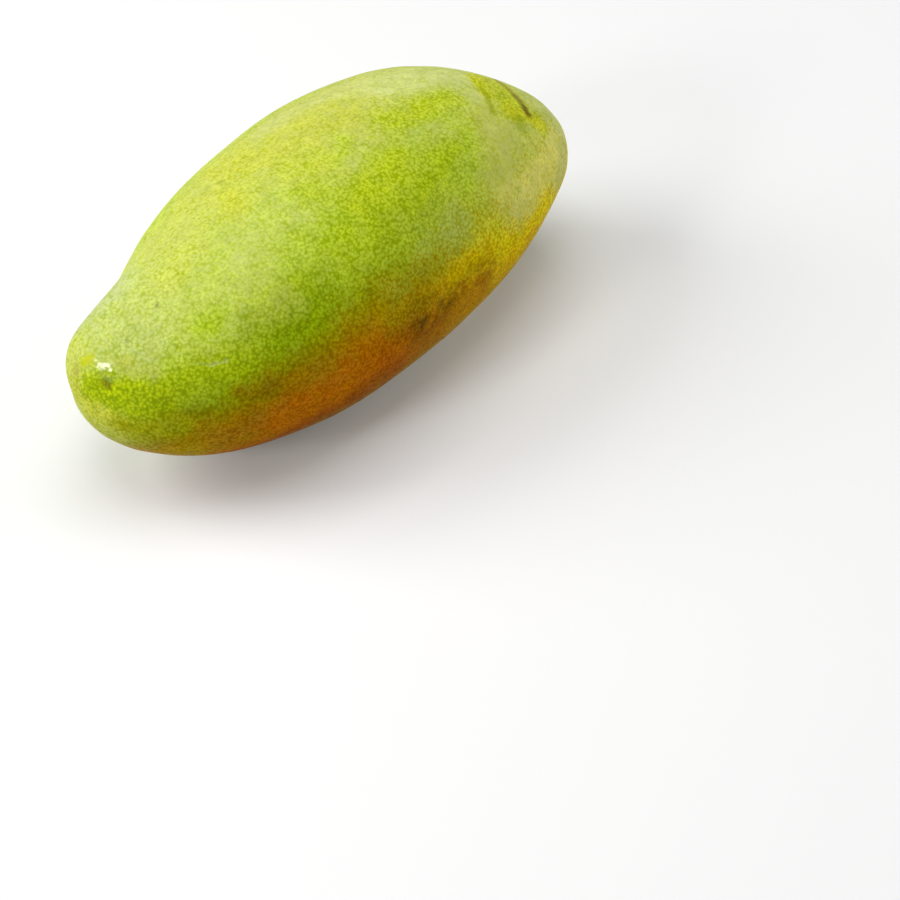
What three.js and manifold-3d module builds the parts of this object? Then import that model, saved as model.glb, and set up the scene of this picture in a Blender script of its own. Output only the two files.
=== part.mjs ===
// A whole green mango of the long, tapering kind, lying on its cheek.
//
// The fruit is one solid. It starts as a unit sphere, and every point of the sphere, a direction from the
// fruit's middle, is carried to the skin: x is stretched to the fruit's length, y and z to the girth there,
// and the middle line bends a little sideways. A few soft swellings and hollows are then added: the beak
// and the sinus beside it, which every mango has near its tip, and the stem's hollow and scar.
//
// Frame, in millimetres: +X runs from the tip to the stem end, +Y to the belly side, which has the beak,
// and +Z up. The origin is at the middle of the bounding box, on the surface that the fruit lies on.

import * as THREE from "three";
import { mergeVertices } from "three/addons/utils/BufferGeometryUtils.js";
import Module from "manifold-3d";

const wasm = await Module();
wasm.setup();

// Driving dimensions.
const LENGTH = 160;
const HEIGHT_TO_WIDTH = 0.88;
const REST_SINK = 1.2; // how far the skin is pressed flat where the fruit lies

// Guide values for smooth curves, evenly spread from the tip to the stem end.
const GIRTH = [40, 38.5, 36, 39.5, 41.5, 38]; // half of the width
const BEND = [-3, -6.5, 0, 11.5, -1]; // the middle line, towards the belly side
const RISE = [-1, -0.5, 0]; // the middle line, upwards

// Soft swellings and hollows. Each lies in a direction from the middle: polar is its angle from the tip,
// and around is its angle from the belly side, upwards. Its spread is a share of the sphere's radius.
const SWELLINGS = {
  beak: { polar: 24, around: 61, height: 5.8, spread: 0.2 },
  sinus: { polar: 37, around: 31, height: -6.1, spread: 0.3 },
  stemHollow: { polar: 180, around: 0, height: -2.4, spread: 0.17 },
  stemScar: { polar: 180, around: 0, height: 1.3, spread: 0.06 },
};

// Mesh fineness. Rings crowd towards both ends, where the skin curves most.
const FACES_AROUND = 56;
const RINGS = 48;
const RING_CROWDING = 0.45;

const SKIN = { color: 0x9db83a, roughness: 0.45, metalness: 0 };

const DEGREE = Math.PI / 180;

// The value at a share of the way along a Bezier curve of the guide values.
function smoothAlong(guides, share) {
  let values = guides;
  while (values.length > 1) {
    values = values.slice(1).map((next, i) => THREE.MathUtils.lerp(values[i], next, share));
  }
  return values[0];
}

// The unit direction at a polar angle from the tip and an angle around from the belly side.
function directionAt(polar, around) {
  const ring = Math.sin(polar);
  return new THREE.Vector3(-Math.cos(polar), ring * Math.cos(around), ring * Math.sin(around));
}

// The same direction with its polar angle moved towards the nearer end.
function crowdTowardsEnds(direction) {
  const polar = Math.acos(THREE.MathUtils.clamp(-direction.x, -1, 1));
  const crowded = polar - (RING_CROWDING / 2) * Math.sin(2 * polar);
  return directionAt(crowded, Math.atan2(direction.z, direction.y));
}

// How far the swellings and hollows move the skin out, in this direction.
function swellingAt(direction) {
  let height = 0;
  for (const swelling of Object.values(SWELLINGS)) {
    const centre = directionAt(swelling.polar * DEGREE, swelling.around * DEGREE);
    const distance = direction.distanceTo(centre) / swelling.spread;
    height += swelling.height * Math.exp(-(distance ** 2) / 2);
  }
  return height;
}

// The point of the skin in a direction from the fruit's middle.
function skinPoint(direction) {
  const share = (1 + direction.x) / 2;
  const girth = smoothAlong(GIRTH, share);
  const point = new THREE.Vector3(
    (LENGTH / 2) * direction.x,
    smoothAlong(BEND, share) + girth * direction.y,
    smoothAlong(RISE, share) + HEIGHT_TO_WIDTH * girth * direction.z,
  );
  return point.addScaledVector(direction, swellingAt(direction));
}

// A closed surface with only its positions, and each corner that faces share stored once.
function closedSurface(geometry) {
  geometry.deleteAttribute("normal");
  geometry.deleteAttribute("uv");
  return mergeVertices(geometry);
}

function solidFrom(surface) {
  return new wasm.Manifold(
    new wasm.Mesh({
      numProp: 3,
      vertProperties: surface.attributes.position.array,
      triVerts: new Uint32Array(surface.index.array),
    }),
  );
}

function geometryFrom(solid) {
  const mesh = solid.getMesh();
  const geometry = new THREE.BufferGeometry();
  geometry.setAttribute("position", new THREE.BufferAttribute(mesh.vertProperties, 3));
  geometry.setIndex(new THREE.BufferAttribute(mesh.triVerts, 1));
  return geometry;
}

// The fruit's round skin, before it is set down.
function roundSkin() {
  const sphere = new THREE.SphereGeometry(1, FACES_AROUND, RINGS);
  sphere.rotateZ(Math.PI / 2); // one pole to the tip, the other to the stem end
  const skin = closedSurface(sphere);
  const positions = skin.attributes.position;
  const direction = new THREE.Vector3();
  for (let i = 0; i < positions.count; i += 1) {
    direction.fromBufferAttribute(positions, i);
    const point = skinPoint(crowdTowardsEnds(direction));
    positions.setXYZ(i, point.x, point.y, point.z);
  }
  return skin;
}

// What lies under the surface that the fruit lies on.
function ground() {
  const box = new THREE.BoxGeometry(2 * LENGTH, 2 * LENGTH, LENGTH);
  box.translate(0, 0, -LENGTH / 2);
  return closedSurface(box);
}

// The fruit set down: its lowest skin is pressed flat at z = 0, and its box is centred on the z axis.
function mangoGeometry() {
  const skin = roundSkin();
  skin.computeBoundingBox();
  skin.translate(0, 0, -skin.boundingBox.min.z - REST_SINK);
  const geometry = geometryFrom(solidFrom(skin).subtract(solidFrom(ground())));
  geometry.computeBoundingBox();
  const centre = geometry.boundingBox.getCenter(new THREE.Vector3());
  geometry.translate(-centre.x, -centre.y, 0);
  geometry.computeVertexNormals();
  return geometry;
}

const mango = new THREE.Mesh(mangoGeometry(), new THREE.MeshStandardMaterial(SKIN));
mango.name = "mango";

const fruit = new THREE.Group();
fruit.add(mango);

export default fruit;
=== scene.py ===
"""A whole green mango of the long, tapering kind, lying on its cheek.

The fruit's skin is one closed mesh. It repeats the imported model's formula with a finer mesh, and adds
what is too small for the CAD model: gentle waves, the flower's scar on the beak, the grooves of fine scar
lines, and the woody button of the stem end.

Frame: +X runs from the tip to the stem end, +Y to the belly side, which has the beak, and +Z up. The
origin is under the fruit's middle, on the floor. The skin is worked out in millimetres and made in metres.
Its material works with the object's own places, in millimetres. Camera, lamps and floor are in metres.
"""

import math

import bpy
import numpy as np
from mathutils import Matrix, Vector, noise


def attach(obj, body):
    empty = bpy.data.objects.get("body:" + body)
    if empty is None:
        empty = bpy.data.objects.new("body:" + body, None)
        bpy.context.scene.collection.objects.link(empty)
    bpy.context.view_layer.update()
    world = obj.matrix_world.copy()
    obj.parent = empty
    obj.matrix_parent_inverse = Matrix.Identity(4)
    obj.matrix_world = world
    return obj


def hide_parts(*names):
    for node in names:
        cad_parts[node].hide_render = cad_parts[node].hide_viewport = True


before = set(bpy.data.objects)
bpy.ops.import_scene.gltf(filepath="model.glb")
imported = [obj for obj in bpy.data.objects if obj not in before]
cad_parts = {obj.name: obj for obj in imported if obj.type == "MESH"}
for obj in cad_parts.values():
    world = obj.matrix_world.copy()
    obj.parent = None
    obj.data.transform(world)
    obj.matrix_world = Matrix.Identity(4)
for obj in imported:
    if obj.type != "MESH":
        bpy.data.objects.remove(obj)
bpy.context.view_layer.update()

MM = 0.001
DEGREE = math.pi / 180

# ---------------------------------------------------------------- the fruit's driving dimensions

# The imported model's shape, in millimetres.
LENGTH = 160
HEIGHT_TO_WIDTH = 0.88
REST_SINK = 1.2  # how far the skin is pressed flat where the fruit lies

# Guide values for smooth curves, evenly spread from the tip to the stem end.
GIRTH = [40, 38.5, 36, 39.5, 41.5, 38]  # half of the width
BEND = [-3, -6.5, 0, 11.5, -1]  # the middle line, towards the belly side
RISE = [-1, -0.5, 0]  # the middle line, upwards

# Soft swellings: the angle from the tip and the one around from the belly side, both in degrees, then the
# height, and the spread as a share of a ball's radius.
BEAK = (24, 61, 5.8, 0.2)
SINUS = (37, 31, -6.1, 0.3)
STEM_HOLLOW = (180, 0, -2.4, 0.17)
STEM_SCAR = (180, 0, 1.3, 0.06)

# The visual model's finer shape: waves and ripples over the whole skin, by how many there are to a
# ball's radius and by their height in millimetres, and small swellings like the ones above.
WAVES = 2.6
WAVE_HEIGHT = 0.55
RIPPLES = 8
RIPPLE_HEIGHT = 0.12
RIPPLE_SHIFT = (7, 3, 5)  # so that they don't run with the waves
SMALL_SWELLINGS = [
    (30, -28, 1.0, 0.16),  # under the tip
    (34, 42, -0.8, 0.14),  # deeper in the sinus
    (150, 62, -1.0, 0.2),  # flatter above the stem
]
FOOT_EDGE = 1.0  # how far from the floor the skin starts to be pressed flat

# Round dents, and swellings where the depth is below 0: centre, radius, depth.
DENTS = [
    ((-76.6, -10.9, 41.9), 1.5, 0.5),  # the flower's scar
    ((-76.6, -8.2, 44.6), 1.3, -0.22),  # the bumps beside it
    ((-74.4, -10.9, 44.4), 1.2, -0.2),
    ((-78.4, -5, 42.4), 1.6, 0.2),  # a hollow at the very tip
    ((8, -38, 33), 4, 0.25),  # under the russet
    ((22, -36, 33), 3, 0.2),
    ((-3, -39, 35), 3, 0.2),
]

# Fine grooves under the scar lines and the scratch: from, to, radius, depth.
GROOVES = [
    ((65.2, 3, 53), (63.5, -6.3, 53.1), 0.8, 0.08),
    ((63.5, -6.3, 53.1), (62.1, -12.1, 51.4), 0.9, 0.13),
    ((54.6, -3, 58), (50.2, -11.5, 57.3), 0.8, 0.05),
    ((-60.2, -24.5, 47.3), (-57.1, -27, 46.8), 0.5, 0.07),
    ((-57.1, -27, 46.8), (-53.5, -28.7, 47), 0.5, 0.09),
]

# The stem end: the woody button, the pith in its middle, the ring groove and the folds round it.
BUTTON_RADIUS = 3.1
BUTTON_HEIGHT = 0.7
BUTTON_EDGE = 0.25  # how soft its edge is
BUTTON_WOBBLES = [(3, 1, 0.08), (7, 0, 0.04)]  # bulges round it: how many, turned by, how strong
PITH_RADIUS = 0.9
PITH_DEPTH = 0.6
RING_DEPTH = 0.75
RING_WIDTH = 0.7  # the groove's, and how far it is outside the button
FOLDS = 7
FOLD_HEIGHT = 0.22
FOLD_LEAN = 2  # how unevenly the folds stand round the stem
FOLD_PLACE = (8, 3.5)  # how far from the stem they are highest, and how far to either side they reach

CELLS_PER_SIDE = 120  # the mesh is a cube's six sides, blown up to a sphere and then to the fruit

# ---------------------------------------------------------------- camera

# Azimuths and elevations are in degrees, as seen from the fruit: 0, 0 is towards -Y, and 90, 0 towards +X.
CAMERA_TARGET = (-0.0029, -0.0511, 0.0)  # in the middle of the picture
CAMERA_DISTANCE = 0.6329
CAMERA_AZIMUTH = -43.66
CAMERA_ELEVATION = 43.69
CAMERA_LENS = 100  # in millimetres, as the sensor
CAMERA_SENSOR = 36

# ---------------------------------------------------------------- studio

WORLD_LEVEL = 0.05  # of the light that comes from the world. The camera sees it at 1, which is white
FLOOR_SIZE = 8
FLOOR_SEEN = 0.9  # the floor's grey, as the camera and reflections see it
FLOOR_GLOW = 0.1  # what is added to it to make it nearly white
FLOOR_FADE = (0.3, 0.8)  # from the first distance to the second, the floor fades to plain white
FLOOR_THROWN_BACK = 0.5  # the floor's grey in the light that it throws back at the fruit
FLOOR_ROUGHNESS = 0.9

# Name, azimuth, elevation, distance, size and level of each soft lamp. All are aimed at the fruit's middle.
LAMP_TARGET = (0, 0, 0.035)
LAMPS = [
    ("key", -134, 36, 1.1, 0.7, 0.7),
    ("far_side", 68, 11, 1.1, 0.9, 0.54),
    ("tip_gleam", -87, 27, 1.1, 0.2, 0.2),
    ("overhead", 0, 90, 1.1, 0.9, 0.52),
]

# ---------------------------------------------------------------- the skin's colours and markings

# The colour and the bloom under all that follows. Bloom is a fruit's pale dust: 0 is clean and 1 is dusty.
GROUND = "#C2CC4C"
GROUND_BLOOM = 0.8

# How far noise pushes places about, in millimetres: for the patches' edges, the marks' edges and the net.
RAGGED = 9
FRAYED = 1.6
JOSTLED = 0.35
WIDE_WANDER = {"Scale": 0.1, "Detail": 4, "Roughness": 0.6}  # the noise for the patches
FINE_WANDER = {"Scale": 0.8, "Detail": 3}  # the noise for the marks and the cells

# Other noises: the width of the bumps in millimetres and the detail, then, where they aren't the usual
# ones, a shift, so that no two run alike, and the roughness.
CLOUD_NOISE = (6, 4, (40, 0, 0), 0.62)
CLEAR_NOISE = (3.4, 4, (0, 40, 0), 0.62)
MOTTLE_NOISE = (2.6, 2, (0, 0, 90))
NET_NOISE = (0.6, 1)
NET_DRIFT_NOISE = (2.2, 2, (0, 0, 60))
RUSSET_NOISE = (2.4, 4, (0, 0, 30), 0.6)
WAX_NOISE = (0.9, 2, (20, 0, 0))
BUMP_WIDTH = 0.7  # how wide a noise's bumps are when its scale is 1

# Soft strokes of colour, painted in order. Each has a name, two points that it runs between, its reach to
# either side, how soft its edge is, its colour, and how much bloom is on it.
FIELDS = [
    ("green_cheek_low", (-74, -20, 40), (-20, -28, 54), 12, 0.9, "#BCD806", 0.35),
    ("green_cheek_high", (-20, -27, 54), (34, -22, 57), 14, 0.9, "#B4CE04", 0.4),
    ("yellow_back", (20, 8, 66), (-24, 10, 63), 11, 0.9, "#C8CE38", 0.75),
    # pale bloom on the far upper edge, with a painted sheen of white light grazing off it
    ("bloom_and_painted_sheen_back", (-2, 18, 62), (28, 16, 63), 4, 0.9, "#CDD368", 0.95),
    ("bloom_middle", (-22, -11, 63), (-50, -17, 56), 10, 0.9, "#C4D648", 0.75),
    ("bloom_beak", (-68, -13, 49), (-62, 0, 52), 10, 0.9, "#C0D05C", 0.65),
    # pale bloom on the beak's upper edge, with a painted sheen of white light grazing off it
    ("bloom_and_painted_sheen_rim", (-70, 4, 49.5), (-58, 6, 52.5), 4, 0.9, "#BBC875", 0.85),
    # the side away from the camera, and below
    ("green_far_high", (-38, 24, 48), (12, 34, 50), 10, 0.9, "#B8CE10", 0.45),
    ("green_far_low", (-14, 36, 20), (36, 36, 22), 9, 0.9, "#B4CA14", 0.45),
    ("yellow_far", (38, 35, 42), (66, 24, 34), 9, 0.9, "#CECE34", 0.6),
    ("bloom_far", (-58, 16, 30), (-30, 31, 26), 9, 0.9, "#C4D25C", 0.95),
    ("yellow_under", (-30, 2, 2), (40, 8, 2), 15, 0.9, "#CACA44", 0.7),
]

# The flank was turned to the sun. It goes from green to olive, orange and brown towards the tip, and to
# yellow towards the stem. That orange and brown is partly its own blush and partly painted warm light,
# thrown back from below. Its edge is highest near the fruit's middle, and droops with the square of the
# distance from there. The colours are by how far a place is below the edge.
FLANK_TOP = 48.5
FLANK_MIDDLE = -5
FLANK_DROOP_TO_TIP = 0.0037
FLANK_DROOP_TO_STEM = 0.0008
FLANK_RANGE = (-10, 50)  # that the colours are spread over
FLANK_BLOOM = 0.05

# Where the flank fades in: by the distance below its edge, by y, and by x near the very tip. The last pair
# is where the tip's colours turn to the stem end's, by x.
FLANK_FADE_DOWN = (-9, 1)
FLANK_FADE_SIDE = (4, -16)
FLANK_FADE_TIP = (-80, -66)
FLANK_TURN = (-14, 32)
TIP_FLANK = [
    (-6, "#A6BC04"),
    (-2, "#A0A700"),
    (1.5, "#AEA400"),
    (5.5, "#BC9600"),
    (9.5, "#CC8C00"),
    (13.5, "#DC8400"),
    (18, "#D87900"),
    (26, "#B86400"),
    (44, "#B89C28"),
]
STEM_FLANK = [
    (-6, "#B6C20A"),
    (-2, "#BCC420"),
    (2, "#D2CE2A"),
    (6, "#E1D720"),
    (10, "#F2DE12"),
    (14, "#F6DA06"),
    (18, "#F0C804"),
    (26, "#D8A800"),
    (44, "#C0A82C"),
]

# Smaller strokes of the same kind, painted after the flank.
PATCHES = [
    # bloom
    ("bloom_top", (32, 8, 64), (50, 2, 60), 9, 0.7, "#D2DB74", 1.0),
    ("bloom_shoulder", (48, -14, 55), (40, -26, 49), 8, 0.9, "#C6CC40", 1.0),
    ("bloom_cheek", (18, -31, 50.5), (8, -33, 50), 5, 0.9, "#B4C036", 0.5),
    ("bloom_stem", (72, -8, 44), (66, -20, 37), 6, 0.9, "#CED278", 0.95),
    ("bloom_ridge", (34, -8, 63), (24, -12, 63), 4, 0.9, "#BCD040", 0.9),
    ("bloom_crest", (26, -16, 61), (31, -15, 60), 2.5, 0.9, "#BCC84C", 0.8),
    ("tip_low", (-79, -4, 36), (-77, -10, 32), 6, 0.9, "#D3D930", 0.4),
    ("stem_edge", (64, -20, 42), (42, -29, 43), 5.5, 0.9, "#ECE462", 0.75),
    # rubbed clean
    ("rubbed_stripe", (20, -4, 65), (42, -4, 62), 5, 0.9, "#BACC0C", 0.35),
    ("rubbed_shoulder", (18, -21, 60), (30, -19, 58), 6, 0.9, "#B0C804", 0.2),
    ("rubbed_cheek", (12, -26, 57), (-4, -27, 57), 7, 0.9, "#AAC000", 0.2),
    ("rubbed_middle", (-12, -24, 59), (-22, -24, 58), 6, 0.9, "#B9D310", 0.3),
    ("rubbed_low", (-29, -31, 52), (-42, -32, 48), 6, 0.9, "#9CB600", 0.05),
    ("rubbed_near_tip", (-52, -31, 45), (-66, -24, 44), 6, 0.9, "#B6CE00", 0.08),
    ("rubbed_tip", (-70, -21, 39.5), (-78, -8, 41.5), 5, 0.35, "#B2C804", 0.05),
    ("edge_tip", (-74.5, -10.5, 46.8), (-69, -18.5, 46), 2, 0.9, "#C2CE40", 0.65),
    ("edge_cheek", (-41, -27.5, 53.5), (-34, -28, 54.3), 3.5, 0.9, "#B8CC2C", 0.55),
    ("green_dip", (-55, -20.5, 53.5), (-50, -22, 54), 2.5, 0.9, "#B4CE10", 0.35),
    ("green_ridge", (0, -7.5, 66), (6, -4, 66), 2.5, 0.9, "#BCD024", 0.45),
    ("rubbed_ridge", (13, -15.5, 63), (-2, -19, 62), 5, 0.9, "#BCD008", 0.3),
    ("rubbed_back", (-10, -12, 64), (-13, -12, 64), 4, 0.9, "#BCD010", 0.35),
    # yellow and russet
    ("yellow_spot", (-28, -2, 64), (-26, 1, 64), 4, 0.9, "#C8D034", 0.7),
    ("yellow_ridge", (-9, -3, 66), (-4, -5, 66), 5, 0.9, "#C6D230", 0.6),
    ("yellow_neck", (-52, -6, 58), (-44, -5, 60), 4, 0.9, "#C8D244", 0.6),
    ("stem_side", (62, 0, 55), (58, -11, 54.5), 5, 0.6, "#BECA14", 0.3),
    ("yellow_stem_top", (59, 5, 56), (54.5, -5, 57.6), 2.6, 0.5, "#C8CE00", 0.15),
    ("yellow_stem_low", (57, -12, 54), (63.5, -15, 48.5), 3, 0.7, "#C8CA08", 0.2),
    # the flank, its colours partly painted warm light thrown back from below
    ("olive_tip", (-66, -25, 20), (-62, -29, 26), 7, 0.9, "#C8A800", 0.1),
    ("lime_tip", (-76, -16, 31.5), (-67, -26, 33), 3, 0.9, "#BABC00", 0.1),
    ("orange_rub", (-53, -33.5, 39.5), (-47, -35, 39), 2.5, 0.9, "#AC8C00", 0.05),
    ("gold_tip", (-57, -32, 26), (-50, -34, 25), 6, 0.9, "#CA8E00", 0.1),
    ("gold_low", (-46, -35, 26), (-24, -39, 30), 5, 0.9, "#E38800", 0.05),
    ("gold_band", (14, -36.5, 38), (26, -35, 38.5), 3.5, 0.9, "#DEC000", 0.05),
    ("brown_low", (-2, -39, 28), (8, -37.7, 27.6), 4.5, 0.9, "#BC7600", 0.05),
    ("brown_lower", (12, -37, 27.5), (23, -35, 26), 4.5, 0.9, "#D09400", 0.05),
    ("olive_cheek", (-8, -36.5, 45.3), (8, -35.6, 44.8), 3, 0.9, "#B4B010", 0.15),
    ("olive_spot", (-10, -38, 41), (-1, -38, 40.5), 3.5, 0.9, "#B49400", 0.05),
    # the side away from the camera
    ("rubbed_far_high", (-20, 33, 40), (-6, 36, 44), 5, 0.9, "#AAC400", 0.15),
    ("rubbed_far_low", (20, 38, 30), (34, 38, 26), 5, 0.9, "#AEC804", 0.2),
    ("rubbed_far_tip", (-48, 23, 42), (-42, 28, 36), 4, 0.9, "#B4CC08", 0.25),
    ("yellow_far_low", (50, 34, 24), (58, 29, 20), 6, 0.9, "#D6CA20", 0.4),
    ("bloom_far_middle", (2, 39, 30), (12, 38, 22), 5, 0.9, "#CAD470", 1.0),
    ("russet_far", (30, 31, 51), (36, 30, 50), 2.5, 0.9, "#B4A238", 0.2),
]

# Clouds of bloom and of clearer skin over the whole fruit. A cloud fades in between two levels of its
# noise. How much the clearer skin shows and how uneven the bloom is are pairs, for clean and dusty skin.
DUSTY = "#BFCB62"
DUSTY_FADE = (-0.08, 0.3)
DUSTY_STRENGTH = 0.6
CLEAR = "#AEC000"
CLEAR_FADE = (0.02, 0.26)
CLEAR_STRENGTH = (0.15, 0.6)
CLEAR_BLOOM = -0.6  # what the clearer skin adds to the bloom
UNEVEN_BLOOM = (0.15, 1)
CLOUD_BLOOM = 0.8  # what the clouds' noise adds to the bloom

# Russet: brown stains on the flank, in broken patches. Each is a stroke like a mark's. The patches fade in
# between two levels of their noise.
RUSSET = [
    ("stain", (-1, -38.8, 34.4), (9, -37.8, 33.8), 3.8, 0.9, "#6C4C08", 0.85),
    ("stain_low", (-12, -39.4, 34.5), (-2, -39, 32.5), 3, 0.9, "#6E4A08", 0.5),
    ("stain_end", (15, -36.8, 35.4), (26, -34.8, 32), 3.4, 0.9, "#985608", 0.65),
]
RUSSET_FADE = (-0.26, 0.16)

# The stem end's colours by the distance from its middle, in millimetres.
STEM_REACH = 12
STEM_SOLID = 0.35  # the share of the reach where they hide the skin's own colours
STEM_COLOURS = [
    (0.3, "#4A3A20"),
    (1.1, "#8A744A"),
    (2.7, "#7A6238"),
    (3.6, "#3C3410"),
    (4.6, "#8C8E1C"),
    (7, "#B4BE3C"),
    (11, "#C0CA48"),
]

# The fine net of pale cells, with darker gaps between them. Its level is 0 in a cell's middle and rises
# outwards, and noise breaks the cells up. Widths are in millimetres.
CELL_WIDTH = 0.78
NET_BROKEN = 0.9  # how much the noises change the level
NET_DRIFT = 0.4  # how much of them is the slower one, against the fine one
NET_EDGE = (0.88, 0.18)  # the levels where a cell starts and where it is whole
NET_BLOOM = -0.16  # what bloom adds to the level, so that dusty cells are wider
CELL_PALE = "#E6EAAE"
CELL_PALENESS = 0.16  # how pale the cells are under full bloom

# How far the net's tint is from the plain colour: what is taken off so that it is even all over, and how
# strong it is. Both are pairs for clean and for dusty skin.
NET_EVEN = (0.5, 0.7)
NET_STRENGTH = (1.85, 0.15)
HALF_WAY = 0.5  # from the gaps' tint to the cells'

# What multiplies the colour's red, green and blue: in the net's gaps and cells, on the cheek and on the
# flank, in the darker and lighter parts of a mottle over it, and in cells that are unlike the next.
NET_GAP = (0.82, 0.86, 0.6)
NET_CELL = (1.18, 1.14, 1.5)
FLANK_GAP = (0.9, 0.83, 0.55)
FLANK_CELL = (1.09, 1.16, 1.5)
MOTTLE_DARKER = (0.76, 0.79, 0.5)
MOTTLE_LIGHTER = (1.22, 1.2, 1.5)
CELL_DARKER = (0.93, 0.93, 0.9)
CELL_LIGHTER = (1.08, 1.07, 1.13)
CELL_YELLOWER = (1.03, 1.01, 0.82)
CELL_BLUER = (0.97, 0.99, 1.22)

# Small marks, each a thin stroke: name, from, to, reach, softness, colour, and how strong it is.
MARKS = [
    # the scar of the flower on the beak, and the brown fringe round it
    ("stylar_scar", (-76.9, -10.4, 42), (-76.3, -11.4, 41.6), 1.1, 0.6, "#6A560E", 0.8),
    ("stylar_fringe", (-78.8, -2, 44), (-79.2, -2.6, 41.8), 0.8, 0.9, "#9A8A30", 0.5),
    ("beak_rub", (-76.3, -5, 46), (-77.2, -4.1, 45.3), 1.2, 0.7, "#D0D600", 0.9),
    ("beak_shade", (-63, 7, 50.4), (-73, 5, 46.6), 1.2, 0.9, "#A2A878", 0.35),
    # specks
    ("speck_beak", (-58.7, -9.4, 55.3), (-58.5, -9.4, 55.3), 0.5, 0.9, "#56641C", 0.6),
    ("speck_tip", (-68.5, -9.7, 50.5), (-68.5, -9.9, 50.5), 0.65, 0.9, "#5C6A18", 0.6),
    ("speck_back", (-23.4, 8.7, 62.8), (-23.7, 9, 62.7), 0.8, 0.9, "#88960C", 0.6),
    ("fleck_back", (-26.8, 0, 64), (-26.2, 0.8, 64), 0.8, 0.9, "#C89A10", 0.12),
    # a pale scratch near the tip
    ("scratch_one", (-60.2, -24.5, 47.3), (-57.1, -27, 46.8), 0.32, 0.7, "#DCE0A8", 0.15),
    ("scratch_two", (-57.1, -27, 46.8), (-53.5, -28.7, 47), 0.4, 0.7, "#DCE0A8", 0.25),
    # the scar line beside the stem, with its dark end, and a shorter one
    ("stem_line_one", (65.2, 3, 53), (63.5, -6.3, 53.1), 0.9, 0.9, "#8C7628", 0.7),
    ("stem_line_two", (63.5, -6.3, 53.1), (62.1, -12.1, 51.4), 0.9, 0.9, "#806A1C", 0.75),
    ("stem_line_end", (62.4, -10.8, 51.9), (61.8, -12.6, 51.2), 1.1, 0.8, "#5E5210", 0.7),
    ("short_line", (54.6, -3, 58), (50.2, -11.5, 57.3), 0.8, 0.8, "#98A80C", 0.6),
    ("short_smear", (57.4, -13.6, 53.2), (55.6, -16, 51.8), 1.6, 0.9, "#94A808", 0.6),
    # the side away from the camera: specks, a scratch, and a run of dried sap
    ("speck_far_one", (-34, 30, 40), (-33.6, 30, 39.6), 0.5, 0.6, "#5C6410", 0.7),
    ("speck_far_two", (14, 38.5, 36), (14.4, 38.5, 36.3), 0.6, 0.6, "#5A5810", 0.7),
    ("speck_far_three", (44, 36, 26), (44.2, 36, 26.4), 0.5, 0.6, "#66600F", 0.7),
    ("scratch_far_one", (-4, 38, 26), (8, 38.5, 31), 0.4, 0.8, "#8E9418", 0.5),
    ("scratch_far_two", (8, 38.5, 31), (13, 38, 32.5), 0.3, 0.8, "#8E9418", 0.35),
    ("sap_run", (77, 8, 33), (66, 21, 26), 0.8, 0.9, "#8C8430", 0.35),
]

# Gloss: a faint one all over, and a thin clear wax that is thicker where the skin is rubbed clean. Pairs
# are for clean and for dusty skin.
SPECULAR = 0.004
ROUGHNESS = (0.34, 0.5)
WAX_ROUGHNESS = 0.13
WAX = (0.1, 0.02)

# Spots of thick wax near the tip: from, to, reach, softness. Noise breaks them up, and they fade in between
# two levels of it.
WAX_SPOTS = [
    ((-76.8, -6.8, 44.9), (-75.9, -8.2, 44.9), 2.8, 0.3),
    ((-75.2, -9.2, 45.2), (-74.6, -11.2, 44.4), 2.7, 0.3),
]
WAX_FADE = (-0.14, 0.04)

# The skin's relief: the net's levels where it starts and where it is highest, and its height in metres.
RELIEF_EDGE = (0.8, 0.2)
RELIEF_HEIGHT = 0.00003


def direction_at(polar, around):
    """The unit direction at an angle from the tip and one around from the belly side, in degrees."""
    ring = math.sin(polar * DEGREE)
    return np.array(
        [
            -math.cos(polar * DEGREE),
            ring * math.cos(around * DEGREE),
            ring * math.sin(around * DEGREE),
        ]
    )


def smooth_along(guides, share):
    """Values at shares of the way along a Bezier curve of the guide values."""
    values = [np.full_like(share, guide) for guide in guides]
    while len(values) > 1:
        values = [a + (b - a) * share for a, b in zip(values, values[1:])]
    return values[0]


def swelling(directions, polar, around, height, spread):
    """How far one soft swelling moves the skin out."""
    distance = np.linalg.norm(directions - direction_at(polar, around), axis=1)
    return height * np.exp(-((distance / spread) ** 2) / 2)


def skin_points(directions):
    """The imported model's skin in these directions from the fruit's middle, in millimetres."""
    share = (1 + directions[:, 0]) / 2
    girth = smooth_along(GIRTH, share)
    points = np.stack(
        [
            LENGTH / 2 * directions[:, 0],
            smooth_along(BEND, share) + girth * directions[:, 1],
            smooth_along(RISE, share) + HEIGHT_TO_WIDTH * girth * directions[:, 2],
        ],
        axis=1,
    )
    height = sum(swelling(directions, *s) for s in (BEAK, SINUS, STEM_HOLLOW, STEM_SCAR))
    return points + directions * height[:, None]


# ---------------------------------------------------------------- mesh

CUBE_SIDES = [
    # the outward axis, then the two axes across the side: the second crossed with the third is the first
    ((1, 0, 0), (0, 1, 0), (0, 0, 1)),
    ((-1, 0, 0), (0, 0, 1), (0, 1, 0)),
    ((0, 1, 0), (0, 0, 1), (1, 0, 0)),
    ((0, -1, 0), (1, 0, 0), (0, 0, 1)),
    ((0, 0, 1), (1, 0, 0), (0, 1, 0)),
    ((0, 0, -1), (0, 1, 0), (1, 0, 0)),
]
SAME_PLACE = 6  # corners that agree in this many decimals are one
MAP_MARGIN = 0.006  # round each side's part of the unwrapped map


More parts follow.
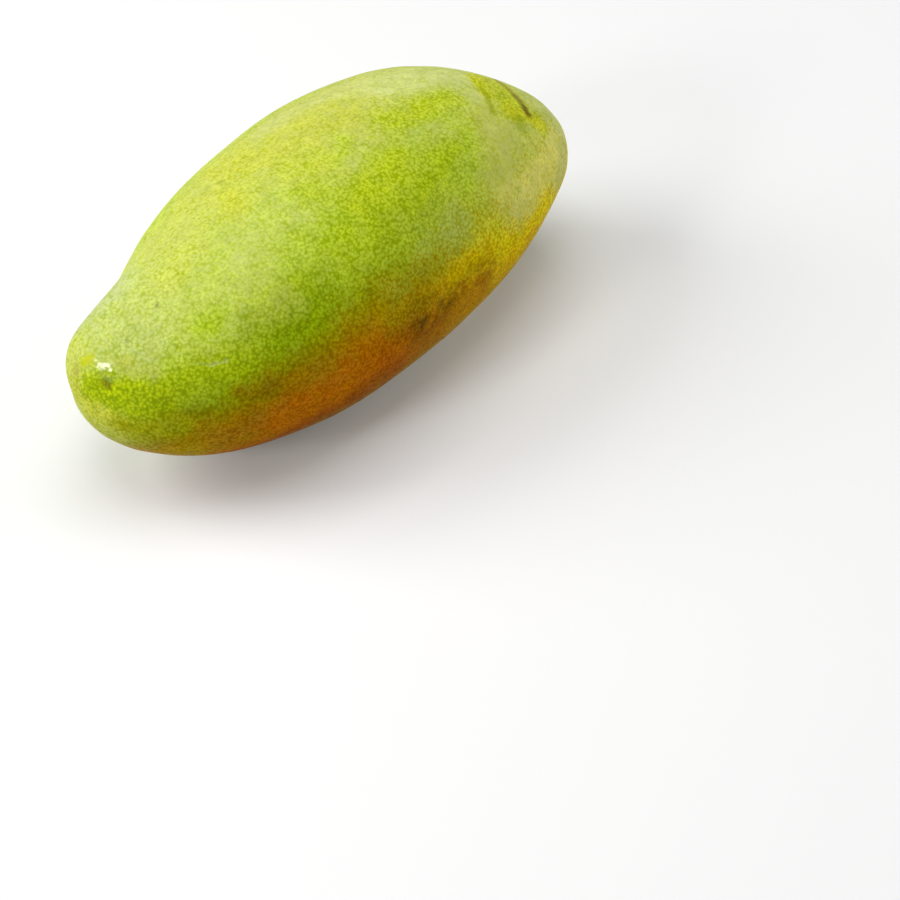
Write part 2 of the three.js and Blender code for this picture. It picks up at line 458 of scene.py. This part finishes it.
def ball_grid(cells):
    """Unit directions and outward quads of a ball made from a cube's six sides."""
    steps = np.tan(np.linspace(-1, 1, cells + 1) * math.pi / 4)
    across, up = np.meshgrid(steps, steps, indexing="ij")
    corners = []
    for side in CUBE_SIDES:
        out, first, second = (np.array(axis, float) for axis in side)
        corners.append(out + across[..., None] * first + up[..., None] * second)
    corners = np.stack(corners).reshape(-1, 3)
    corners /= np.linalg.norm(corners, axis=1)[:, None]
    _, first_use, merged = np.unique(
        np.round(corners, SAME_PLACE), axis=0, return_index=True, return_inverse=True
    )
    ids = merged.reshape(len(CUBE_SIDES), cells + 1, cells + 1)
    quads = np.stack(
        [ids[:, :-1, :-1], ids[:, 1:, :-1], ids[:, 1:, 1:], ids[:, :-1, 1:]], axis=-1
    )
    return corners[first_use], quads.reshape(-1, 4)


def place_of_side(number):
    """The lower corner and the size of one side's part of the unwrapped map, three across and two up."""
    across, up = number % 3, number // 3
    width, height = 1 / 3 - 2 * MAP_MARGIN, 1 / 2 - 2 * MAP_MARGIN
    return across / 3 + MAP_MARGIN, up / 2 + MAP_MARGIN, width, height


def unwrap(mesh, cells):
    """One part of the map for each side of the cube, with the fruit's length up the map."""
    steps = np.linspace(0, 1, cells + 1)
    across, up = np.meshgrid(steps, steps, indexing="ij")
    corners = []
    for number, (_, first, _) in enumerate(CUBE_SIDES):
        u, v = (1 - up, across) if first[0] else (across, up)
        left, bottom, width, height = place_of_side(number)
        grid = np.stack([left + width * u, bottom + height * v], axis=-1)
        quad = [grid[:-1, :-1], grid[1:, :-1], grid[1:, 1:], grid[:-1, 1:]]
        corners.append(np.stack(quad, axis=2).reshape(-1, 2))
    layer = mesh.uv_layers.new(name="OFBake")
    layer.data.foreach_set("uv", np.concatenate(corners).astype(np.float32).ravel())


def unevenness(directions):
    """The gentle waves of a real fruit's skin, and hollows and swellings too small for the CAD model."""
    waves = np.array([noise.noise(Vector(d) * WAVES) for d in directions])
    shift = Vector(RIPPLE_SHIFT)
    ripples = np.array([noise.noise(Vector(d) * RIPPLES + shift) for d in directions])
    height = WAVE_HEIGHT * waves + RIPPLE_HEIGHT * ripples
    for polar, around, rise, spread in SMALL_SWELLINGS:
        height += swelling(directions, polar, around, rise, spread)
    return height


def dent(points, centre, radius, depth):
    """A round soft dent, or a swelling where depth is below 0."""
    distance = np.linalg.norm(points - np.array(centre), axis=1)
    return -depth * np.exp(-((distance / radius) ** 2))


def groove(points, start, end, radius, depth):
    """A fine soft groove along a straight line."""
    start, line = np.array(start), np.array(end) - np.array(start)
    share = np.clip((points - start) @ line / (line @ line), 0, 1)
    distance = np.linalg.norm(points - start - share[:, None] * line, axis=1)
    return -depth * np.exp(-((distance / radius) ** 2))


def stem_end(points, stem):
    """The woody button where the stem broke off, the groove round it, and the folds round that."""
    across = points - stem
    radius = np.hypot(across[:, 1], across[:, 2])
    around = np.arctan2(across[:, 2], across[:, 1])
    near = points[:, 0] > 0
    wobble = 1
    for count, turn, strength in BUTTON_WOBBLES:
        wobble = wobble + strength * np.sin(count * around + turn)
    wobble = radius * wobble
    button = BUTTON_HEIGHT / (1 + np.exp((wobble - BUTTON_RADIUS) / BUTTON_EDGE))
    pith = -PITH_DEPTH * np.exp(-((radius / PITH_RADIUS) ** 2))
    ring = -RING_DEPTH * np.exp(-(((wobble - BUTTON_RADIUS - RING_WIDTH) / RING_WIDTH) ** 2))
    place, reach = FOLD_PLACE
    folds = FOLD_HEIGHT * np.cos(FOLDS * around + FOLD_LEAN * np.sin(around))
    folds = folds * np.exp(-(((radius - place) / reach) ** 2))
    return near * (button + pith + ring + folds)


def set_down(heights):
    """Heights above the ground, pressed flat where they would be under it, with a soft edge."""
    soft = (heights + FOOT_EDGE) ** 2 / (4 * FOOT_EDGE)
    return np.where(heights > FOOT_EDGE, heights, np.where(heights < -FOOT_EDGE, 0, soft))


def packed_move(directions):
    """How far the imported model's skin is moved to be set down and centred."""
    packed = skin_points(directions)
    down = packed[:, 2].min() + REST_SINK
    packed[:, 2] = np.maximum(packed[:, 2] - down, 0)
    centre = (packed.max(axis=0) + packed.min(axis=0)) / 2
    return np.array([centre[0], centre[1], down])


def fine_skin(directions):
    """The visual model's skin in these directions, and the place of its stem, in millimetres."""
    move = packed_move(directions)
    points = skin_points(directions) + directions * unevenness(directions)[:, None] - move
    stem = skin_points(np.array([[1.0, 0, 0]]))[0] - move
    height = stem_end(points, stem)
    for centre, radius, depth in DENTS:
        height += dent(points, centre, radius, depth)
    for start, end, radius, depth in GROOVES:
        height += groove(points, start, end, radius, depth)
    points += directions * height[:, None]
    points[:, 2] = set_down(points[:, 2])
    return points, stem


def make_mango():
    """The fruit, and the place of its stem in millimetres."""
    directions, quads = ball_grid(CELLS_PER_SIDE)
    points, stem = fine_skin(directions)
    mesh = bpy.data.meshes.new("mango_fruit")
    mesh.from_pydata((points * MM).tolist(), [], quads.tolist())
    unwrap(mesh, CELLS_PER_SIDE)
    mesh.shade_smooth()
    fruit = bpy.data.objects.new("mango_fruit", mesh)
    bpy.context.scene.collection.objects.link(fruit)
    return fruit, stem


# ---------------------------------------------------------------- nodes


class Graph:
    """Short calls that add nodes to a tree and give back their output sockets."""

    def __init__(self, tree):
        self.tree = tree

    def feed(self, socket, value):
        """Links a socket to an input, or sets the input to a plain value."""
        if isinstance(value, bpy.types.NodeSocket):
            self.tree.links.new(value, socket)
        else:
            socket.default_value = value

    def node(self, kind, inputs=(), **settings):
        node = self.tree.nodes.new(kind)
        for name, value in settings.items():
            setattr(node, name, value)
        for key, value in dict(inputs).items():
            self.feed(node.inputs[key], value)
        return node

    def math(self, operation, *values):
        return self.node("ShaderNodeMath", dict(enumerate(values)), operation=operation).outputs[0]

    def clamp(self, value):
        """The value kept within 0 and 1. A node's own clamp makes the renderer hold too many values."""
        return self.math("MINIMUM", self.math("MAXIMUM", value, 0), 1)

    def vector(self, operation, *values):
        inputs = dict(enumerate(values))
        node = self.node("ShaderNodeVectorMath", inputs, operation=operation)
        return node.outputs["Value" if operation in ("LENGTH", "DISTANCE", "DOT_PRODUCT") else "Vector"]

    def between(self, share, low, high):
        """The value at a share, 0 to 1, of the way from low to high."""
        return self.math("MULTIPLY_ADD", share, high - low, low)

    def blend(self, share, first, second, way="MIX", **settings):
        """Two colours blended, with the second on top at this share. Inputs 6 and 7 are a mix's colours."""
        inputs = {0: share, 6: first, 7: second}
        return self.node("ShaderNodeMix", inputs, data_type="RGBA", blend_type=way, **settings).outputs[2]

    def smooth_step(self, value, start, end):
        """0 below start and 1 above end, with a smooth rise between. It falls if end is the lower."""
        inputs = {"Value": value, "From Min": start, "From Max": end}
        return self.node("ShaderNodeMapRange", inputs, interpolation_type="SMOOTHSTEP").outputs["Result"]


def grey(level):
    """A plain grey's colour."""
    return (level, level, level, 1)


def paint(code):
    """The linear colour of a plain #RRGGBB code, by the sRGB standard's formula."""
    parts = [int(code[i : i + 2], 16) / 255 for i in (1, 3, 5)]
    return (*(p / 12.92 if p <= 0.04045 else ((p + 0.055) / 1.055) ** 2.4 for p in parts), 1)


# ---------------------------------------------------------------- the skin's material


class Skin(Graph):
    """The graph of the fruit's skin. Places and sizes in it are in millimetres.

    The place itself is here. Noise pushes it about: there is the one for patches, near the one for marks,
    and jostled the one for the net's cells.
    """

    def __init__(self, tree):
        super().__init__(tree)
        coordinates = self.node("ShaderNodeTexCoord").outputs["Object"]
        self.here = self.vector("MULTIPLY", coordinates, [1 / MM] * 3)
        self.there = self.pushed(self.wander(WIDE_WANDER), RAGGED)
        fine = self.wander(FINE_WANDER)
        self.near = self.pushed(fine, FRAYED)
        self.jostled = self.vector("MULTIPLY_ADD", fine, [JOSTLED] * 3, self.here)

    def wander(self, inputs):
        """Noise in three directions, each from 0 to 1."""
        return self.node("ShaderNodeTexNoise", {"Vector": self.here, **inputs}).outputs["Color"]

    def pushed(self, wander, reach):
        """The place pushed about by such noise, by up to half the reach to either side."""
        shift = self.vector("MULTIPLY_ADD", wander, [reach] * 3, [-reach / 2] * 3)
        return self.vector("ADD", self.here, shift)

    def noise(self, width, detail, shift=(0, 0, 0), roughness=0.5):
        """Smooth noise round 0, from about -0.5 to 0.5, whose bumps are about this wide."""
        place = self.vector("ADD", self.here, shift)
        inputs = {"Vector": place, "Scale": BUMP_WIDTH / width, "Detail": detail, "Roughness": roughness}
        return self.math("SUBTRACT", self.node("ShaderNodeTexNoise", inputs).outputs[0], 0.5)

    def distance(self, place, start, end):
        """How far a place is from a straight line between two points."""
        start, end = Vector(start), Vector(end)
        across = self.vector("SUBTRACT", place, start)
        line = end - start
        if line.length:
            along = self.vector("DOT_PRODUCT", across, line / line.length_squared)
            inputs = {0: line, "Scale": self.clamp(along)}
            nearest = self.node("ShaderNodeVectorMath", inputs, operation="SCALE")
            across = self.vector("SUBTRACT", across, nearest.outputs["Vector"])
        return self.vector("LENGTH", across)

    def stroke(self, place, start, end, reach, softness):
        """1 on a stroke from start to end and 0 away from it."""
        distance = self.distance(place, start, end)
        return self.smooth_step(distance, reach * (1 + softness), reach * (1 - softness))

    def mix(self, share, first, second):
        """Two values mixed. Inputs 2 and 3 are a mix's values."""
        return self.node("ShaderNodeMix", {0: share, 2: first, 3: second}).outputs[0]

    def tint(self, share, colour, low, high):
        """The colour multiplied by a tint between a low one, at share 0, and a high one, at 1."""
        return self.blend(1, colour, self.blend(share, (*low, 1), (*high, 1)), "MULTIPLY")

    def ramp(self, value, stops, lowest, highest):
        """A colour by a value, from stops of value and colour."""
        size = highest - lowest
        share = self.math("MULTIPLY_ADD", value, 1 / size, -lowest / size)
        node = self.node("ShaderNodeValToRGB", {0: share})
        elements = node.color_ramp.elements
        while len(elements) < len(stops):
            elements.new(1)
        for element, (at, code) in zip(elements, stops):
            element.position = (at - lowest) / size
            element.color = paint(code)
        return node.outputs["Color"]


def paint_strokes(skin, strokes, colour, bloom):
    """Broad strokes, each with its colour and its bloom."""
    for _, start, end, reach, softness, code, dust in strokes:
        share = skin.stroke(skin.there, start, end, reach, softness)
        colour = skin.blend(share, colour, paint(code))
        bloom = skin.mix(share, bloom, dust)
    return colour, bloom


def below_flank_edge(skin, x, z):
    """How far a place is below the flank's drooping edge."""
    along = skin.math("SUBTRACT", x, FLANK_MIDDLE)
    to_tip = skin.math("MINIMUM", along, 0)
    to_stem = skin.math("MAXIMUM", along, 0)
    tip_droop = skin.math("MULTIPLY", skin.math("POWER", to_tip, 2), FLANK_DROOP_TO_TIP)
    stem_droop = skin.math("MULTIPLY", skin.math("POWER", to_stem, 2), FLANK_DROOP_TO_STEM)
    drooped = skin.math("ADD", z, skin.math("ADD", tip_droop, stem_droop))
    return skin.math("SUBTRACT", FLANK_TOP, drooped)


def paint_flank(skin, colour, bloom):
    """The side turned to the sun, partly painted warm bounce light. It also gives back how much of the
    flank a place is.
    """
    x, y, z = skin.node("ShaderNodeSeparateXYZ", {0: skin.there}).outputs
    below = below_flank_edge(skin, x, z)
    tip_colour = skin.ramp(below, TIP_FLANK, *FLANK_RANGE)
    stem_colour = skin.ramp(below, STEM_FLANK, *FLANK_RANGE)
    # the flank's colour: its own blush, partly painted warm light thrown back from below
    blush_and_painted_bounce = skin.blend(skin.smooth_step(x, *FLANK_TURN), tip_colour, stem_colour)
    down = skin.smooth_step(below, *FLANK_FADE_DOWN)
    flank = skin.math("MULTIPLY", down, skin.smooth_step(y, *FLANK_FADE_SIDE))
    flank = skin.math("MULTIPLY", flank, skin.smooth_step(x, *FLANK_FADE_TIP))
    return skin.blend(flank, colour, blush_and_painted_bounce), skin.mix(flank, bloom, FLANK_BLOOM), flank


def net_of_cells(skin):
    """The net's level, which is lowest in the middle of each cell, and a random colour for each cell."""
    broken = skin.math("MULTIPLY_ADD", skin.noise(*NET_DRIFT_NOISE), NET_DRIFT, skin.noise(*NET_NOISE))
    cells = skin.node("ShaderNodeTexVoronoi", {"Vector": skin.jostled, "Scale": 1 / CELL_WIDTH}).outputs
    return skin.math("MULTIPLY_ADD", broken, NET_BROKEN, cells["Distance"]), cells["Color"]


def add_clouds(skin, colour, bloom):
    """Uneven bloom, thicker in soft clouds and thinner in others."""
    cloud = skin.noise(*CLOUD_NOISE)
    dusty = skin.math("MULTIPLY", skin.smooth_step(cloud, *DUSTY_FADE), bloom)
    colour = skin.blend(skin.math("MULTIPLY", dusty, DUSTY_STRENGTH), colour, paint(DUSTY))
    clear = skin.smooth_step(skin.noise(*CLEAR_NOISE), *CLEAR_FADE)
    clear = skin.math("MULTIPLY", clear, skin.between(bloom, *CLEAR_STRENGTH))
    colour = skin.blend(clear, colour, paint(CLEAR))
    uneven = skin.math("MULTIPLY", cloud, skin.between(bloom, *UNEVEN_BLOOM))
    bloom = skin.clamp(skin.math("MULTIPLY_ADD", uneven, CLOUD_BLOOM, bloom))
    return colour, skin.clamp(skin.math("MULTIPLY_ADD", clear, CLEAR_BLOOM, bloom))


def vary_cells(skin, chance, colour):
    """Each cell a little lighter or darker, and yellower or bluer, than the next, under a wider mottle."""
    first, second = skin.node("ShaderNodeSeparateXYZ", {0: chance}).outputs[:2]
    colour = skin.tint(first, colour, CELL_DARKER, CELL_LIGHTER)
    colour = skin.tint(second, colour, CELL_YELLOWER, CELL_BLUER)
    mottle = skin.math("ADD", skin.noise(*MOTTLE_NOISE), 0.5)
    return skin.tint(mottle, colour, MOTTLE_DARKER, MOTTLE_LIGHTER)


def paint_net(skin, net, colour, bloom, flank):
    """The net on the colour. It shows less, and has wider cells, where there is more bloom."""
    cells = skin.smooth_step(skin.math("MULTIPLY_ADD", bloom, NET_BLOOM, net), *NET_EDGE)
    pale = skin.math("MULTIPLY", cells, skin.between(bloom, 0, CELL_PALENESS))
    colour = skin.blend(pale, colour, paint(CELL_PALE))
    shown = skin.math("SUBTRACT", cells, skin.between(bloom, *NET_EVEN))
    shown = skin.math("MULTIPLY_ADD", shown, skin.between(bloom, *NET_STRENGTH), HALF_WAY)
    gap = skin.blend(flank, (*NET_GAP, 1), (*FLANK_GAP, 1))
    cell = skin.blend(flank, (*NET_CELL, 1), (*FLANK_CELL, 1))
    tint = skin.blend(shown, gap, cell, clamp_factor=False)  # it goes past both on clean skin
    return skin.blend(1, colour, tint, "MULTIPLY")


def paint_russet(skin, colour):
    """A brown stain in broken patches."""
    broken = skin.smooth_step(skin.noise(*RUSSET_NOISE), *RUSSET_FADE)
    for _, start, end, reach, softness, code, strength in RUSSET:
        share = skin.math("MULTIPLY", broken, skin.stroke(skin.near, start, end, reach, softness))
        colour = skin.blend(skin.math("MULTIPLY", share, strength), colour, paint(code))
    return colour


def paint_marks(skin, colour):
    """Scars, specks and scratches, on top of the net."""
    for _, start, end, reach, softness, code, strength in MARKS:
        share = skin.math("MULTIPLY", skin.stroke(skin.near, start, end, reach, softness), strength)
        colour = skin.blend(share, colour, paint(code))
    return colour


def spread_wax(skin, bloom, flank):
    """How much clear wax there is: little on bloom, none on the flank, most on the spots near the tip."""
    wax = skin.mix(flank, skin.between(bloom, *WAX), 0)
    broken = skin.smooth_step(skin.noise(*WAX_NOISE), *WAX_FADE)
    for start, end, reach, softness in WAX_SPOTS:
        spot = skin.math("MULTIPLY", skin.stroke(skin.near, start, end, reach, softness), broken)
        wax = skin.math("MAXIMUM", wax, spot)
    return wax


def paint_stem_end(skin, colour, stem):
    """Brown wood, a dark ring, and pale skin round it, by the distance from the stem."""
    distance = skin.vector("DISTANCE", skin.near, stem)
    wood = skin.ramp(distance, STEM_COLOURS, 0, STEM_REACH)
    share = skin.smooth_step(distance, STEM_REACH, STEM_REACH * STEM_SOLID)
    return skin.blend(share, colour, wood)


def relief(skin, net):
    """The net's cells, raised very slightly."""
    height = skin.math("MULTIPLY", skin.smooth_step(net, *RELIEF_EDGE), RELIEF_HEIGHT)
    return skin.node("ShaderNodeBump", {"Height": height, "Distance": 1, "Strength": 1}).outputs[0]


def make_skin_material(stem):
    """The layers of the skin in the order in which they lie on each other."""
    material = bpy.data.materials.new("mango_peel")
    material.use_nodes = True
    skin = Skin(material.node_tree)
    shader = material.node_tree.nodes["Principled BSDF"]
    colour, bloom = paint_strokes(skin, FIELDS, paint(GROUND), GROUND_BLOOM)
    colour, bloom, flank = paint_flank(skin, colour, bloom)
    colour, bloom = paint_strokes(skin, PATCHES, colour, bloom)
    colour, bloom = add_clouds(skin, colour, bloom)
    net, chance = net_of_cells(skin)
    colour = paint_russet(skin, colour)
    colour = vary_cells(skin, chance, colour)
    colour = paint_net(skin, net, colour, bloom, flank)
    colour = paint_marks(skin, colour)
    colour = paint_stem_end(skin, colour, stem)
    skin.feed(shader.inputs["Base Color"], colour)
    skin.feed(shader.inputs["Roughness"], skin.between(bloom, *ROUGHNESS))
    shader.inputs["Specular IOR Level"].default_value = SPECULAR
    skin.feed(shader.inputs["Coat Weight"], spread_wax(skin, bloom, flank))
    shader.inputs["Coat Roughness"].default_value = WAX_ROUGHNESS
    skin.feed(shader.inputs["Normal"], relief(skin, net))
    return material


# ---------------------------------------------------------------- camera, floor and lights


def direction_of_view(azimuth, elevation):
    """From the object towards something at this azimuth and elevation, in degrees."""
    a, e = azimuth * DEGREE, elevation * DEGREE
    return Vector((math.sin(a) * math.cos(e), -math.cos(a) * math.cos(e), math.sin(e)))


def stand_and_aim(holder, target, azimuth, elevation, distance):
    """Puts a camera or a lamp into the scene, looking at a target from this far away."""
    back = direction_of_view(azimuth, elevation)
    holder.location = Vector(target) + back * distance
    holder.rotation_mode = "QUATERNION"
    holder.rotation_quaternion = (-back).to_track_quat("-Z", "Y")
    bpy.context.scene.collection.objects.link(holder)


def make_camera():
    camera = bpy.data.cameras.new("camera")
    camera.lens = CAMERA_LENS
    camera.sensor_width = CAMERA_SENSOR
    eye = bpy.data.objects.new("camera", camera)
    stand_and_aim(eye, CAMERA_TARGET, CAMERA_AZIMUTH, CAMERA_ELEVATION, CAMERA_DISTANCE)
    bpy.context.scene.camera = eye


def make_lamp(name, azimuth, elevation, distance, size, level):
    """A square soft lamp aimed at the fruit. At level 1, what faces it shows its colour as written."""
    lamp = bpy.data.lights.new(name, "AREA")
    lamp.size = size
    lamp.energy = level * math.pi**2 * distance**2
    stand_and_aim(bpy.data.objects.new(name, lamp), LAMP_TARGET, azimuth, elevation, distance)


def seen_directly(graph):
    """1 for rays from the camera, from a gloss or through glass, and 0 for the light that things share."""
    path = graph.node("ShaderNodeLightPath")
    camera_or_gloss = graph.math("MAXIMUM", path.outputs["Is Camera Ray"], path.outputs["Is Glossy Ray"])
    return graph.math("MAXIMUM", camera_or_gloss, path.outputs["Is Transmission Ray"])


def make_world():
    """White to look at, and dim as a light."""
    world = bpy.data.worlds.new("studio")
    world.use_nodes = True
    graph = Graph(world.node_tree)
    background = world.node_tree.nodes["Background"]
    background.inputs["Color"].default_value = grey(1)
    graph.feed(background.inputs["Strength"], graph.between(seen_directly(graph), WORLD_LEVEL, 1))
    bpy.context.scene.world = world


def make_floor_material():
    """Nearly white to look at, with the fruit's shadow, and a middling grey in the light thrown back."""
    material = bpy.data.materials.new("floor")
    material.use_nodes = True
    graph = Graph(material.node_tree)
    shader = material.node_tree.nodes["Principled BSDF"]
    seen = seen_directly(graph)
    place = graph.node("ShaderNodeTexCoord").outputs["Object"]
    fade = graph.smooth_step(graph.vector("LENGTH", place), *FLOOR_FADE)
    shown = graph.blend(fade, grey(FLOOR_SEEN), grey(0))
    graph.feed(shader.inputs["Base Color"], graph.blend(seen, grey(FLOOR_THROWN_BACK), shown))
    graph.feed(shader.inputs["Emission Color"], grey(1))
    glow = graph.math("MULTIPLY", seen, graph.between(fade, FLOOR_GLOW, 1))
    graph.feed(shader.inputs["Emission Strength"], glow)
    shader.inputs["Roughness"].default_value = FLOOR_ROUGHNESS
    shader.inputs["Specular IOR Level"].default_value = 0
    return material


def make_floor():
    mesh = bpy.data.meshes.new("floor")
    reach = FLOOR_SIZE / 2
    corners = [(-reach, -reach, 0), (reach, -reach, 0), (reach, reach, 0), (-reach, reach, 0)]
    mesh.from_pydata(corners, [], [(0, 1, 2, 3)])
    floor = bpy.data.objects.new("floor", mesh)
    bpy.context.scene.collection.objects.link(floor)
    mesh.materials.append(make_floor_material())


# ---------------------------------------------------------------- the scene

bpy.context.scene.view_settings.view_transform = "Standard"

make_camera()
make_floor()
make_world()
for lamp in LAMPS:
    make_lamp(*lamp)

mango, stem = make_mango()
mango.data.materials.append(make_skin_material(Vector(stem)))
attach(mango, "root")
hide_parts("mango")
